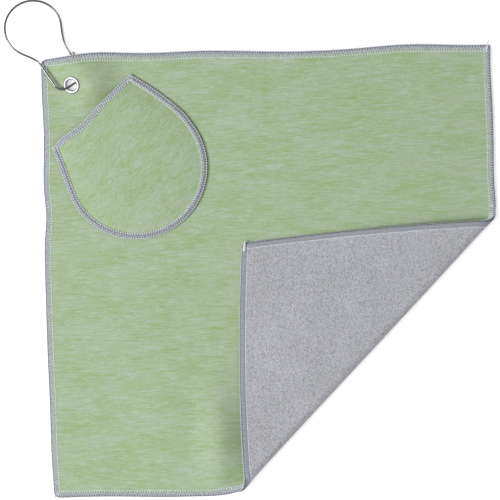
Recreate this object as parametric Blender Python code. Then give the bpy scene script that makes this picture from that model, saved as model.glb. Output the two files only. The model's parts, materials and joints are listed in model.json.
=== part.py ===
"""A two-ply golf towel that lies flat with one corner folded over.

It has a ball pocket, an eyelet and a wire hook. +X runs along the towel's top edge, +Y up its left edge and
+Z out of its face. The origin is the middle of the unfolded towel, on its underside. Sizes are in metres.
"""

import math

import bmesh
import bpy
from mathutils import Matrix, Vector

MM = 0.001
GAP = 0.3 * MM

# The towel: a terry backing under a knitted face, bound by an overlocked hem.
WIDTH = 300 * MM
HEIGHT = 292 * MM
BACKING = 1.3 * MM
FACE = 0.6 * MM
THICK = BACKING + GAP + FACE
HEM_WIDTH = 4.3 * MM
HEM_HEIGHT = 2.5 * MM
HEM_CHAMFER = 0.7 * MM
CORNER_CUT = 4 * MM
CORNER_ROUND = 0.32

# The eyelet. The hook's far leg holds that corner up, so the cloth slopes there.
EYELET = Vector((-128 * MM, 129 * MM))
EYELET_BORE = 4.1 * MM
EYELET_WALL = 0.4 * MM
EYELET_RIM = 6.0 * MM
EYELET_SHEET = 0.45 * MM
EYELET_LIP = 0.15 * MM
CUTTER_DEPTH = 12 * MM
SLOPE_ANGLE = math.radians(126.4)
SLOPE_ALONG = Vector((math.cos(SLOPE_ANGLE), math.sin(SLOPE_ANGLE)))
SLOPE_ACROSS = Vector((SLOPE_ALONG.y, -SLOPE_ALONG.x))
SLOPE = 0.45
SLOPE_REACH = 8 * MM
LIFT_WIDE = 36 * MM
LIFT_DEEP = 24 * MM
# Distances from that corner and the spacing of the points after each, for edges that follow the slope.
EDGE_MARKS = ((0, 3 * MM), (39 * MM, 5 * MM), (69 * MM, 12 * MM), (93 * MM, 100 * MM))

# The hook, in the (along, across) coordinates of its own plane: along is from the eyelet to the bulb.
# The near leg lies over the cloth and the far leg under it.
HOOK_ANGLE = math.radians(122.8)
ALONG = Vector((math.cos(HOOK_ANGLE), math.sin(HOOK_ANGLE)))
ACROSS = Vector((ALONG.y, -ALONG.x))
WIRE = 0.65 * MM
BULB_CENTRE = 46.2 * MM
BULB_RADIUS = 18.6 * MM
WIRE_THROAT = math.radians(120)
GATE_THROAT = math.radians(118)
WIRE_REACH = 6 * MM
GATE_REACH = 7 * MM
NEAR_LEG = 9.8 * MM
NEAR_BEND = 6.5 * MM
LEG_TOP = 24 * MM
LEG_EASE = 3.5 * MM
FAR_LEG = 8.3 * MM
BEND = 3.2 * MM
BEND_STEPS = 5
LATCH_FLOOR = 13.4 * MM
LATCH_OUT = 12.8 * MM
LATCH_TOP = 18 * MM
LATCH_KINK = 0.4 * MM
LATCH_RUN = 1.6 * MM
GATE_END = 15 * MM
GATE_OUT = 10.9 * MM
GATE_STRAIGHT = 5 * MM
GATE_EASE = 6 * MM
HOOK_TILT_ACROSS = -0.17
HOOK_TILT_ALONG = -0.0156

# The pocket, measured from near the eyelet along the slope: a round bag with a straight mouth, askew to it.
POCKET_ORIGIN = Vector((-129.8 * MM, 129.8 * MM))
MOUTH_SKEW = 0.086
MOUTH = 21.3 * MM
MOUTH_HALF = 35.3 * MM
BAG_CENTRE = 70.3 * MM
BAG_RADIUS = 47.3 * MM
POCKET_RISE = 6 * MM
LINING = 0.8 * MM
POCKET_HEM = 2.4 * MM
SEAM = 0.35 * MM
BAG_SHOULDER = 10 * MM
BAG_ROW_ANGLES = (12, 24, 36, 48, 59, 69, 77, 83, 87)
BAG_COLUMNS = 6
BAG_ARC_STEPS = 12
MOUTH_STEPS = 8

# The fold: its direction, where it meets the right edge and the radius of the roll at mid thickness.
FOLD_ANGLE = math.radians(45.95)
FOLD = Vector((math.cos(FOLD_ANGLE), math.sin(FOLD_ANGLE)))
OUTWARD = Vector((FOLD.y, -FOLD.x))
FOLD_START = Vector((148.9 * MM, 38.1 * MM))
ROLL = 4.2 * MM
ROLL_STEPS = 14
FLAP_TIP = Vector((-18 * MM, 19.3 * MM))
FLAP_TOP_ANGLE = math.radians(3.4)
FLAP_SIDE_ANGLE = math.radians(-90.5)
FLAP_LOW = 2 * ROLL
FLAP_REST = THICK + GAP
HINGE_HEIGHT = THICK / 2 + ROLL + GAP

GREEN = (0.40, 0.50, 0.29, 1)
GREY = (0.41, 0.41, 0.45, 1)
THREAD = (0.43, 0.45, 0.52, 1)
NICKEL = (0.75, 0.75, 0.76, 1)


def clear_scene():
    for obj in list(bpy.data.objects):
        bpy.data.objects.remove(obj)


def finish(name, color, roughness, metallic):
    material = bpy.data.materials.new(name)
    material.use_nodes = True
    shader = material.node_tree.nodes["Principled BSDF"]
    shader.inputs["Base Color"].default_value = color
    shader.inputs["Roughness"].default_value = roughness
    shader.inputs["Metallic"].default_value = metallic
    return material


def pivot(name, position):
    empty = bpy.data.objects.new(name, None)
    empty.location = position
    bpy.context.collection.objects.link(empty)
    return empty


def add(name, data, material, parent=None):
    """Links a part. Its points are given in world space, and are moved to its parent's own origin."""
    obj = bpy.data.objects.new(name, data)
    data.materials.append(material)
    bpy.context.collection.objects.link(obj)
    if parent:
        data.transform(Matrix.Translation(-parent.location))
        obj.parent = parent
    return obj


def mesh_from(name, bm):
    bmesh.ops.recalc_face_normals(bm, faces=bm.faces[:])
    mesh = bpy.data.meshes.new(name)
    bm.to_mesh(mesh)
    bm.free()
    return mesh


def sweep(name, rings):
    """A closed solid through rings that each hold the same number of points."""
    bm = bmesh.new()
    loops = [[bm.verts.new(point) for point in ring] for ring in rings]
    for here, there in zip(loops, loops[1:]):
        for i in range(len(here)):
            j = (i + 1) % len(here)
            bm.faces.new((here[i], here[j], there[j], there[i]))
    bm.faces.new(loops[0])
    bm.faces.new(loops[-1])
    return mesh_from(name, bm)


def layer(name, rows, low, high):
    """A closed sheet over rows of (x, y, z) points, from low to high above them."""
    bm = bmesh.new()
    bottom = [[bm.verts.new(point + Vector((0, 0, low))) for point in row] for row in rows]
    top = [[bm.verts.new(point + Vector((0, 0, high))) for point in row] for row in rows]
    for grid in (bottom, top):
        for here, there in zip(grid, grid[1:]):
            for i in range(len(here) - 1):
                bm.faces.new((here[i], here[i + 1], there[i + 1], there[i]))
    edges = [(bottom[0], top[0]), (bottom[-1], top[-1])]
    edges.append(([row[0] for row in bottom], [row[0] for row in top]))
    edges.append(([row[-1] for row in bottom], [row[-1] for row in top]))
    for under, over in edges:
        for i in range(len(under) - 1):
            bm.faces.new((under[i], under[i + 1], over[i + 1], over[i]))
    return mesh_from(name, bm)


def tube(name, points, radius, resolution):
    curve = bpy.data.curves.new(name, "CURVE")
    curve.dimensions = "3D"
    curve.bevel_depth = radius
    curve.bevel_resolution = resolution
    curve.use_fill_caps = True
    spline = curve.splines.new("POLY")
    spline.points.add(len(points) - 1)
    for point, place in zip(spline.points, points):
        point.co = (*place, 1)
    return curve


def turned(name, profile, placement, steps=32):
    """A solid of revolution about the local Z axis, from a closed (radius, height) profile."""
    bm = bmesh.new()
    loops = []
    for i in range(steps):
        angle = 2 * math.pi * i / steps
        ring = [Vector((r * math.cos(angle), r * math.sin(angle), z)) for r, z in profile]
        loops.append([bm.verts.new(placement @ point) for point in ring])
    for i in range(steps):
        here = loops[i]
        there = loops[(i + 1) % steps]
        for j in range(len(profile)):
            k = (j + 1) % len(profile)
            bm.faces.new((here[j], here[k], there[k], there[j]))
    return mesh_from(name, bm)


def smooth_step(value, start, end):
    share = min(max((value - start) / (end - start), 0), 1)
    return share * share * (3 - 2 * share)


def lift(x, y):
    """Height of the cloth's underside over the table: a ramp across the eyelet, dying out into the panel."""
    offset = Vector((x, y)) - EYELET
    across = offset.dot(SLOPE_ACROSS)
    ramp = SLOPE * min(max(across + SLOPE_REACH, 0), 2 * SLOPE_REACH)
    wide = 1 - smooth_step(across, SLOPE_REACH, LIFT_WIDE)
    deep = smooth_step(offset.dot(SLOPE_ALONG), -LIFT_DEEP, -SLOPE_REACH)
    return ramp * wide * deep


def on_cloth(x, y, height=0.0):
    return Vector((x, y, lift(x, y) + height))


def steps_between(marks):
    """Values from one mark to the next at each mark's own spacing: marks are (value, spacing after it)."""
    values = []
    for (start, spacing), (end, _) in zip(marks, marks[1:]):
        count = max(1, round(abs(end - start) / spacing))
        values += [start + (end - start) * i / count for i in range(count)]
    values.append(marks[-1][0])
    return values


def edge_steps(corner, end):
    """Places along an edge that starts at the eyelet's corner, close together where the cloth is lifted."""
    sign = 1 if end > corner else -1
    marks = [(corner + sign * distance, spacing) for distance, spacing in EDGE_MARKS]
    return steps_between(marks + [(end, 1)])


def cut(bm, point, normal):
    """Removes what lies on the normal's side of a plane, and closes the solid again."""
    parts = bm.verts[:] + bm.edges[:] + bm.faces[:]
    bmesh.ops.bisect_plane(bm, geom=parts, plane_co=point, plane_no=normal, clear_outer=True)
    bmesh.ops.holes_fill(bm, edges=[edge for edge in bm.edges if edge.is_boundary], sides=0)


def eyelet_placement():
    normal = Vector((-SLOPE * SLOPE_ACROSS.x, -SLOPE * SLOPE_ACROSS.y, 1)).normalized()
    centre = on_cloth(EYELET.x, EYELET.y, THICK / 2)
    turn = normal.to_track_quat("Z", "Y").to_matrix().to_4x4()
    return Matrix.Translation(centre) @ turn


def eyelet_cutter():
    radius = EYELET_BORE + EYELET_WALL + GAP
    bm = bmesh.new()
    size = {"radius1": radius, "radius2": radius, "depth": CUTTER_DEPTH}
    bmesh.ops.create_cone(bm, cap_ends=True, segments=32, **size)
    bm.transform(eyelet_placement())
    cutter = bpy.data.objects.new("eyelet_cutter", mesh_from("eyelet_cutter", bm))
    cutter.hide_render = True
    cutter.display_type = "WIRE"
    bpy.context.collection.objects.link(cutter)
    return cutter


def panel_ply(name, low, high, material, cutter):
    inset = HEM_WIDTH + GAP
    xs = edge_steps(-WIDTH / 2 + inset, WIDTH / 2 - inset)
    ys = edge_steps(HEIGHT / 2 - inset, -HEIGHT / 2 + inset)
    rows = [[on_cloth(x, y) for x in xs] for y in ys]
    mesh = layer(name, rows, low, high)
    bm = bmesh.new()
    bm.from_mesh(mesh)
    start = FOLD_START - OUTWARD * GAP / 2
    cut(bm, (*start, 0), (*OUTWARD, 0))
    bmesh.ops.recalc_face_normals(bm, faces=bm.faces[:])
    bm.to_mesh(mesh)
    bm.free()
    obj = add(name, mesh, material)
    hole = obj.modifiers.new("eyelet_hole", "BOOLEAN")
    hole.object = cutter
    hole.solver = "EXACT"


def hem_ring(inner, outer, base, height):
    """The hem's section between two points in plan, its upper corners cut off. base gives its underside."""
    inside = Vector((*inner, base(inner)))
    outside = Vector((*outer, base(outer)))
    chamfer = (outside - inside).normalized() * HEM_CHAMFER
    shoulder = Vector((0, 0, height - HEM_CHAMFER))
    top = Vector((0, 0, height))
    upper = [outside + shoulder, outside - chamfer + top, inside + chamfer + top, inside + shoulder]
    return [inside, outside, *upper]


def cloth_base(point):
    return lift(point[0], point[1])


def panel_hems(material):
    """Four bands round the panel. The right and bottom ones end where the fold starts."""
    right = WIDTH / 2
    top = HEIGHT / 2
    inner_x = right - HEM_WIDTH
    inner_y = top - HEM_WIDTH
    low = -inner_y
    middle = Vector((-right, top)) + Vector((CORNER_CUT, -CORNER_CUT)) * CORNER_ROUND
    apart = Vector((GAP, GAP)) / 2
    rings = [
        hem_ring((-inner_x, inner_y), middle + apart, cloth_base, HEM_HEIGHT),
        hem_ring((-inner_x + GAP, inner_y), (-right + CORNER_CUT, top), cloth_base, HEM_HEIGHT),
    ]
    across = [x for x in edge_steps(-inner_x, right) if x > -right + CORNER_CUT + GAP]
    rings += [hem_ring((x, inner_y), (x, top), cloth_base, HEM_HEIGHT) for x in across]
    add("hem_top", sweep("hem_top", rings), material)
    rings = [
        hem_ring((-inner_x, inner_y - GAP), middle - apart, cloth_base, HEM_HEIGHT),
        hem_ring((-inner_x, inner_y - 2 * GAP), (-right, top - CORNER_CUT), cloth_base, HEM_HEIGHT),
    ]
    down = [y for y in edge_steps(inner_y, -top) if y < top - CORNER_CUT - GAP]
    rings += [hem_ring((-inner_x, y), (-right, y), cloth_base, HEM_HEIGHT) for y in down]
    add("hem_left", sweep("hem_left", rings), material)
    bottom_end = fold_crossing(Vector((0, -top)), Vector((1, 0)))
    bottom_end_inner = fold_crossing(Vector((0, low)), Vector((1, 0)))
    rings = [
        hem_ring((-inner_x + GAP, low), (-inner_x + GAP, -top), cloth_base, HEM_HEIGHT),
        hem_ring(bottom_end_inner, bottom_end, cloth_base, HEM_HEIGHT),
    ]
    add("hem_bottom", sweep("hem_bottom", rings), material)
    right_end = fold_crossing(Vector((right, 0)), Vector((0, 1)))
    right_end_inner = fold_crossing(Vector((inner_x, 0)), Vector((0, 1)))
    rings = [
        hem_ring((inner_x, inner_y - GAP), (right, inner_y - GAP), cloth_base, HEM_HEIGHT),
        hem_ring(right_end_inner, right_end, cloth_base, HEM_HEIGHT),
    ]
    add("hem_right", sweep("hem_right", rings), material)


def fold_crossing(point, direction, back=GAP / 2):
    """Where a line meets the start of the fold, less a small gap."""
    start = FOLD_START - OUTWARD * back
    share = (start - point).dot(OUTWARD) / direction.dot(OUTWARD)
    return point + direction * share


def flap_corner(inset):
    """The flap's tip and its two ends at the fold, for an outline moved in by inset."""
    top = Vector((math.cos(FLAP_TOP_ANGLE), math.sin(FLAP_TOP_ANGLE)))
    side = Vector((math.cos(FLAP_SIDE_ANGLE), math.sin(FLAP_SIDE_ANGLE)))
    top_in = Vector((top.y, -top.x))
    side_in = Vector((-side.y, side.x))
    on_top = FLAP_TIP + top_in * inset
    on_side = FLAP_TIP + side_in * inset
    share = (on_side - on_top).dot(side_in) / top.dot(side_in)
    tip = on_top + top * share
    return tip, fold_crossing(tip, top), fold_crossing(tip, side)


def flap_base(point):
    """Height of the flap's underside: it leans from the top of the roll down to the panel at its tip."""
    back = (FOLD_START - Vector(point)).dot(OUTWARD)
    full = (FOLD_START - FLAP_TIP).dot(OUTWARD)
    return FLAP_LOW + (FLAP_REST - FLAP_LOW) * back / full


def flap_ply(name, low, high, material, hinge):
    corners = flap_corner(HEM_WIDTH + GAP)
    outline = [Vector((*point, flap_base(point))) for point in corners]
    rings = [[point + Vector((0, 0, height)) for point in outline] for height in (low, high)]
    add(name, sweep(name, rings), material, hinge)


def flap_hems(material, hinge):
    tip, top_end, side_end = flap_corner(0)
    tip_in, top_end_in, side_end_in = flap_corner(HEM_WIDTH)
    rings = [
        hem_ring(tip_in, tip, flap_base, HEM_HEIGHT),
        hem_ring(top_end_in, top_end, flap_base, HEM_HEIGHT),
    ]
    add("flap_hem_upper", sweep("flap_hem_upper", rings), material, hinge)
    back = (side_end - tip).normalized() * 2 * GAP
    rings = [
        hem_ring(tip_in + back, tip + back, flap_base, HEM_HEIGHT),
        hem_ring(side_end_in, side_end, flap_base, HEM_HEIGHT),
    ]
    add("flap_hem_side", sweep("flap_hem_side", rings), material, hinge)


def roll_ply(name, low, high, material):
    """One ply round the fold, from the panel's edge to the flap's. low and high are heights in the panel."""
    panel_ends = [
        fold_crossing(Vector((0, -HEIGHT / 2)), Vector((1, 0)), 0),
        fold_crossing(Vector((WIDTH / 2, 0)), Vector((0, 1)), 0),
    ]
    _, flap_upper, flap_side = flap_corner(0)
    flap_ends = [flap_side, flap_upper]
    centre = THICK / 2 + ROLL
    radii = (centre - low, centre - high)
    rings = []
    for i in range(ROLL_STEPS + 1):
        turn = math.pi * i / ROLL_STEPS
        share = i / ROLL_STEPS
        ring = []
        for near, far in zip(panel_ends, flap_ends):
            start = (near - FOLD_START).dot(FOLD)
            end = (far - FOLD_START).dot(FOLD)
            base = FOLD_START + FOLD * (start + (end - start) * share)
            out, down = OUTWARD * math.sin(turn), math.cos(turn)
            points = [Vector((*(base + out * r), centre - r * down)) for r in radii]
            ring += points if not ring else points[::-1]
        rings.append(ring)
    add(name, sweep(name, rings), material)


def pocket_half_width(along, inset):
    """Half the pocket's width at a distance from the eyelet: a circle, and tangents to the mouth's corners."""
    radius = BAG_RADIUS - inset
    far = Vector((MOUTH - BAG_CENTRE, MOUTH_HALF - inset))
    angle = math.atan2(far.y, far.x) - math.acos(radius / far.length)
    touch = Vector((math.cos(angle), math.sin(angle))) * radius
    offset = along - BAG_CENTRE
    if offset > touch.x:
        return math.sqrt(max(radius * radius - offset * offset, 0))
    share = (offset - far.x) / (touch.x - far.x)
    return far.y + (touch.y - far.y) * share


def pocket_plan(along, across):
    skew = MOUTH_SKEW * across * (1 - smooth_step(along, MOUTH, BAG_CENTRE))
    return POCKET_ORIGIN - SLOPE_ALONG * (along - skew) + SLOPE_ACROSS * across


def pocket_rise(along, across):
    """Height of the pocket's inside over the face: open at the mouth and closed at the round edge."""
    inset = HEM_WIDTH + GAP
    radius = BAG_RADIUS - inset
    share = abs(across) / max(pocket_half_width(along, inset), MM)
    if along > BAG_CENTRE:
        share = math.hypot(along - BAG_CENTRE, across) / radius
    return POCKET_RISE * (1 - min(share, 1) ** 4)


def pocket_point(along, across, height=0.0):
    plan = pocket_plan(along, across)
    return on_cloth(plan.x, plan.y, THICK + GAP + pocket_rise(along, across) + height)


def pocket_ply(name, low, high, material):
    inset = HEM_WIDTH + GAP
    last = BAG_CENTRE + BAG_RADIUS - inset
    straight = steps_between([(MOUTH + inset, 8 * MM), (BAG_CENTRE, 1)])
    turns = [math.radians(angle) for angle in BAG_ROW_ANGLES]
    rows = []
    for along in straight + [BAG_CENTRE + (last - BAG_CENTRE) * math.sin(a) for a in turns]:
        half = pocket_half_width(along, inset)
        shares = [math.sin(math.pi / 2 * i / BAG_COLUMNS) for i in range(-BAG_COLUMNS, BAG_COLUMNS + 1)]
        rows.append([pocket_point(along, half * share) for share in shares])
    add(name, layer(name, rows, low, high), material)


def pocket_outline(inset, mouth):
    """Plan points round the pocket, from one end of the mouth to the other."""
    side = steps_between([(mouth, 9 * MM), (BAG_CENTRE - BAG_SHOULDER, 1)])
    points = [(along, pocket_half_width(along, inset)) for along in side]
    radius = BAG_RADIUS - inset
    start = math.asin(-BAG_SHOULDER / radius)
    turns = [start + (math.pi / 2 - start) * i / BAG_ARC_STEPS for i in range(1, BAG_ARC_STEPS + 1)]
    points += [(BAG_CENTRE + radius * math.sin(a), radius * math.cos(a)) for a in turns]
    mirrored = [(along, -across) for along, across in points[-2::-1]]
    return [pocket_plan(*point) for point in points + mirrored]


def face_base(point):
    return lift(point[0], point[1]) + THICK + GAP


def pocket_hem(material):
    inner = pocket_outline(HEM_WIDTH, MOUTH + HEM_WIDTH + GAP)
    outer = pocket_outline(0, MOUTH + HEM_WIDTH + GAP)
    rings = [hem_ring(a, b, face_base, POCKET_HEM) for a, b in zip(inner, outer)]
    add("pocket_hem", sweep("pocket_hem", rings), material)


def mouth_base(point):
    """Height of the mouth hem's underside over a point in plan."""
    across = (Vector(point) - POCKET_ORIGIN).dot(SLOPE_ACROSS)
    return face_base(point) + pocket_rise(MOUTH, across)


def pocket_mouth_hem(material):
    """The overlocked edge of the mouth, which arches over the opening."""
    rings = []
    for i in range(-MOUTH_STEPS, MOUTH_STEPS + 1):
        across = MOUTH_HALF * math.sin(math.pi / 2 * i / MOUTH_STEPS)
        inside = pocket_plan(MOUTH + HEM_WIDTH, across)
        outside = pocket_plan(MOUTH, across)
        rings.append(hem_ring(inside, outside, mouth_base, POCKET_HEM))
    add("pocket_mouth_hem", sweep("pocket_mouth_hem", rings), material)


def pocket_seam(material):
    """The lockstitch that sews the pocket down, along the middle of its hem."""
    points = pocket_outline(HEM_WIDTH / 2, MOUTH + HEM_WIDTH + 2 * GAP)
    height = POCKET_HEM + GAP + SEAM
    places = [Vector((*point, face_base(point) + height)) for point in points]
    add("pocket_seam", tube("pocket_seam", places, SEAM, 1), material)


def eyelet(material):
    """A barrel with a rolled front flange, which is spread at the back over a washer."""
    half = THICK / 2 / math.sqrt(1 + SLOPE * SLOPE) + GAP / 2
    face = half + EYELET_SHEET
    bore = EYELET_BORE
    wall = EYELET_BORE + EYELET_WALL
    rim = EYELET_RIM
    lip = EYELET_LIP
    barrel = [
        (bore, -face),
        (wall + lip, -face),
        (wall, -half),
        (wall, half),
        (rim, half),
        (rim, half + lip),
        (rim - 2 * lip, face),
        (bore + 2 * lip, face),
        (bore, half),
    ]
    washer_bore = wall + lip + GAP / 2
    washer = [(washer_bore, -half), (washer_bore, -face)]
    washer += [(rim - lip, -face), (rim, -half - lip), (rim, -half)]
    placement = eyelet_placement()
    add("eyelet_barrel", turned("eyelet_barrel", barrel, placement), material)
    add("eyelet_washer", turned("eyelet_washer", washer, placement), material)


def hook_point(along, across):
    plan = EYELET + ALONG * along + ACROSS * across
    height = lift(*EYELET) + THICK / 2 + HOOK_TILT_ACROSS * across + HOOK_TILT_ALONG * along
    return Vector((*plan, height))


def arc(centre, radius, start, end, count):
    """Points on a circle in (along, across), with angles from the along axis."""
    angles = [start + (end - start) * i / count for i in range(count + 1)]
    return [(centre[0] + radius * math.cos(a), centre[1] + radius * math.sin(a)) for a in angles]


def bezier(points, count):
    result = []
    for i in range(1, count + 1):
        t = i / count
        shares = ((1 - t) ** 3, 3 * t * (1 - t) ** 2, 3 * t * t * (1 - t), t**3)
        result.append(tuple(sum(share * p[axis] for share, p in zip(shares, points)) for axis in (0, 1)))
    return result


def hook_wire(material, swivel):
    """From the latch on the far leg, round the bar in the eyelet and up the near leg to the bulb's top."""
    quarter = math.pi / 2
    route = [(LATCH_TOP, LATCH_OUT)]
    route += arc((LATCH_FLOOR + BEND / 2, LATCH_OUT - BEND / 2), BEND / 2, quarter, 2 * quarter, BEND_STEPS)
    route.append((LATCH_FLOOR - LATCH_KINK, FAR_LEG + LATCH_RUN))
    route.append((LATCH_FLOOR - LATCH_RUN, FAR_LEG + LATCH_KINK))
    route.append((LATCH_FLOOR - BEND, FAR_LEG))
    route += arc((BEND, FAR_LEG - BEND), BEND, quarter, 2 * quarter, BEND_STEPS)
    route += arc((NEAR_BEND, NEAR_BEND - NEAR_LEG), NEAR_BEND, 2 * quarter, 3 * quarter, BEND_STEPS)
    bulb = arc((BULB_CENTRE, 0), BULB_RADIUS, -WIRE_THROAT, -GAP / BULB_RADIUS / 2, 20)
    slope = (math.sin(WIRE_THROAT), math.cos(WIRE_THROAT))
    start = (bulb[0][0] - slope[0] * WIRE_REACH, bulb[0][1] - slope[1] * WIRE_REACH)
    neck = bezier([(LEG_TOP, -NEAR_LEG), (LEG_TOP + LEG_EASE, -NEAR_LEG), start, bulb[0]], 7)
    route += [(LEG_TOP, -NEAR_LEG)] + neck + bulb[1:]
    points = [hook_point(*place) for place in route]
    add("hook_wire", tube("hook_wire", points, WIRE, 2), material, swivel)


def hook_gate(material, hinge):
    """The springy side of the bulb. Its end rests against the inside of the latch."""
    bulb = arc((BULB_CENTRE, 0), BULB_RADIUS, GAP / BULB_RADIUS / 2, GATE_THROAT, 18)
    slope = (-math.sin(GATE_THROAT), math.cos(GATE_THROAT))
    start = (bulb[-1][0] + slope[0] * GATE_REACH, bulb[-1][1] + slope[1] * GATE_REACH)
    end = (GATE_END + GATE_STRAIGHT, GATE_OUT)
    neck = bezier([bulb[-1], start, (end[0] + GATE_EASE, end[1]), end], 8)
    route = bulb + neck + [(GATE_END, GATE_OUT)]
    points = [hook_point(*place) for place in route]
    add("hook_gate", tube("hook_gate", points, WIRE, 2), material, hinge)


def main():
    clear_scene()
    green = finish("face_knit", GREEN, 0.9, 0)
    grey = finish("terry", GREY, 0.95, 0)
    thread = finish("thread", THREAD, 0.8, 0)
    nickel = finish("nickel", NICKEL, 0.2, 1)

    cutter = eyelet_cutter()
    panel_ply("towel_backing", 0, BACKING, grey, cutter)
    panel_ply("towel_face", BACKING + GAP, THICK, green, cutter)
    panel_hems(thread)
    roll_ply("fold_backing", 0, BACKING, grey)
    roll_ply("fold_face", BACKING + GAP, THICK, green)

    hinge_plan = FOLD_START + OUTWARD * ROLL
    flap_hinge = pivot("flap_hinge", (*hinge_plan, HINGE_HEIGHT))
    flap_ply("flap_face", 0, FACE, green, flap_hinge)
    flap_ply("flap_backing", FACE + GAP, THICK, grey, flap_hinge)
    flap_hems(thread, flap_hinge)

    pocket_ply("pocket_lining", 0, LINING, grey)
    pocket_ply("pocket_panel", LINING + GAP, LINING + GAP + FACE, green)
    pocket_hem(thread)
    pocket_mouth_hem(thread)
    pocket_seam(thread)

    eyelet(nickel)
    hook_swivel = pivot("hook_swivel", hook_point(0, 0))
    hook_wire(nickel, hook_swivel)
    gate_hinge = pivot("gate_hinge", hook_point(BULB_CENTRE + BULB_RADIUS, 0))
    hook_gate(nickel, gate_hinge)


main()
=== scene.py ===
"""The looks of the golf towel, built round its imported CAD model.

The towel is described flat, in the (x, y) it would have if its corner were not folded. towel_surface()
lays a flat point on the panel, round the roll of the fold or on the flap, so plies, hems and stitches
follow the same cloth. Lengths are in metres.
"""

import math

import bpy
import numpy as np
from mathutils import Matrix, Vector
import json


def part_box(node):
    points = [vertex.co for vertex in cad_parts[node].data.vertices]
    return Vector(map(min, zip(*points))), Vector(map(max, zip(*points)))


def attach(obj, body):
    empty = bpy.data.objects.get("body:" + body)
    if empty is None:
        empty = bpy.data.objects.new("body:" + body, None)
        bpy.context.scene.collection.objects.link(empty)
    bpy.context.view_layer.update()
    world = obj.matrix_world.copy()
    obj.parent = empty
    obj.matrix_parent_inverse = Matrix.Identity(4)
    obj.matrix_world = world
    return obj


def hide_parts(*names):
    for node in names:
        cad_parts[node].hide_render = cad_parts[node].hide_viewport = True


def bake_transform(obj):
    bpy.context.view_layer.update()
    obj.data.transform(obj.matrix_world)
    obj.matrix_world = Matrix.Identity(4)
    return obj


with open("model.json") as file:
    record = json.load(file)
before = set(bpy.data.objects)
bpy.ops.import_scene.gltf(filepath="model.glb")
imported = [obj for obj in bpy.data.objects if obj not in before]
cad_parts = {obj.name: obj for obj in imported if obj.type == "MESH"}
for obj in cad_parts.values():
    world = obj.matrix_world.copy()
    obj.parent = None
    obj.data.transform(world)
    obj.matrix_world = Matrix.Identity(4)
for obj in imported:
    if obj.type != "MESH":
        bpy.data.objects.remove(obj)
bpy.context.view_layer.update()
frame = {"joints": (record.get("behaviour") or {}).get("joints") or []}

MM = 0.001
SEED = 7

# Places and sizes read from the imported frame.
JOINTS = {joint["name"]: joint for joint in frame["joints"]}
TOP_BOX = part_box("hem_top")
LEFT_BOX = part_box("hem_left")
BOTTOM_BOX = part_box("hem_bottom")
RIGHT = TOP_BOX[1].x
LEFT = LEFT_BOX[0].x
TOP = TOP_BOX[1].y
BOTTOM = BOTTOM_BOX[0].y
HOOK_PIVOT = Vector(JOINTS["hook_swing"]["pos_m"])
GATE_PIVOT = Vector(JOINTS["gate_spring"]["pos_m"])
HINGE = np.array(JOINTS["corner_fold"]["pos_m"])
EYELET = np.array(HOOK_PIVOT.xy)

# The cloth: a terry backing under a knitted face. REST keeps the hem's underside on the floor.
REST = 0.25 * MM
BACKING = 1.3 * MM
THICK = 2.2 * MM
PLY_GAP = 0.1 * MM

# The hems, and the radii of the towel's corners from the upper right one to the lower left one.
HEM_WIDTH = 4.3 * MM
HEM_TOP = 2.5 * MM
CORNER_RADII = (1.6 * MM, 5.2 * MM, 4.5 * MM)
FLAP_CORNER_RADIUS = 1.6 * MM

# The fold, from its hinge: the cloth rolls over at radius ROLL.
FOLD = np.array(JOINTS["corner_fold"]["axis"][:2])
OUTWARD = np.array((FOLD[1], -FOLD[0]))
ROLL = 4.2 * MM
FOLD_START = HINGE[:2] - OUTWARD * ROLL
ROLL_LENGTH = math.pi * ROLL

# The flap: where its corner lies, how high it rests, how far from the fold it has sunk to that height, and
# how far its two edges bow.
FLAP_TIP = np.array((-18 * MM, 19.3 * MM))
FLAP_REST = THICK + 0.3 * MM
SETTLE = 75 * MM
TOP_BOW = 1.7 * MM
SIDE_BOW = -2.2 * MM

# The raised corner at the eyelet, as in the CAD but with its creases eased over SLOPE_EASE.
SLOPE_ANGLE = math.radians(126.4)
SLOPE_ALONG = np.array((math.cos(SLOPE_ANGLE), math.sin(SLOPE_ANGLE)))
SLOPE_ACROSS = np.array((SLOPE_ALONG[1], -SLOPE_ALONG[0]))
SLOPE = 0.45
SLOPE_REACH = 8 * MM
SLOPE_EASE = 3 * MM
LIFT_WIDE = 36 * MM
LIFT_DEEP = 24 * MM

# Heights of the soft unevenness of the cloth, in millimetres. It fades in between these distances from
# the eyelet.
SWELL = 0.55
RIPPLE = 0.15
CALM = 15 * MM
UNEVEN = 75 * MM

# The hook's plane: along runs from the eyelet to the top of the bulb.
HOOK_ALONG = np.array((GATE_PIVOT - HOOK_PIVOT).xy.normalized())
HOOK_ACROSS = np.array((HOOK_ALONG[1], -HOOK_ALONG[0]))


def smooth_step(value, start, end):
    share = np.clip((value - start) / (end - start), 0, 1)
    return share * share * (3 - 2 * share)


def eased(value):
    """About zero below zero and about value above it, with a rounded bend between."""
    return (value + np.sqrt(value * value + SLOPE_EASE * SLOPE_EASE)) / 2


def lift(plan):
    """How far the hook's far leg holds the cloth off the floor."""
    offset = plan - EYELET
    across = offset @ SLOPE_ACROSS + SLOPE_REACH
    ramp = SLOPE * (eased(across) - eased(across - 2 * SLOPE_REACH))
    wide = 1 - smooth_step(across - SLOPE_REACH, SLOPE_REACH, LIFT_WIDE)
    deep = smooth_step(offset @ SLOPE_ALONG, -LIFT_DEEP, -SLOPE_REACH)
    return ramp * wide * deep


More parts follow.
